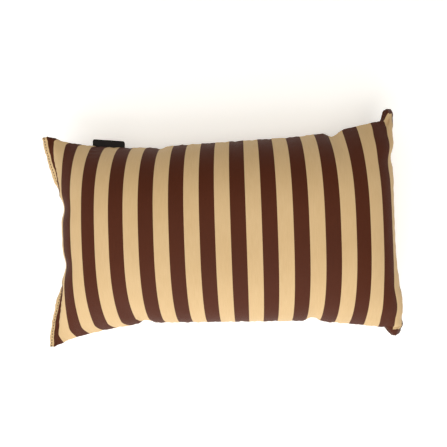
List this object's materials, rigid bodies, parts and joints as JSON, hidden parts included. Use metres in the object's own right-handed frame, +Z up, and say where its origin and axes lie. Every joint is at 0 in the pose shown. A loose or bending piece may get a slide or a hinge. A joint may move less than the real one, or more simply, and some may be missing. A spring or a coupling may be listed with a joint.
{
  "type": "back cushion",
  "caption": "Oblong filled back cushion with plump crown, drawn-in sides, soft ears and a folded tab in its top seam, striped in cream and brown.",
  "frame": {"origin": "centre of the bounding box's base, on the surface that the cushion lies on", "axes": "+X along the long side to the right of the front face, +Y to the top edge with the label, +Z up out of the front face"},
  "size_m": [0.4818, 0.3094, 0.1235],
  "materials": {
    "striped_cover": "smooth close weave with even stripes of cream and dark brown",
    "label_cloth": "black, soft sheen, bare"
  },
  "bodies": {
    "root": {"cushion": "striped_cover", "label_tab": "label_cloth"}
  },
  "joints": []
}
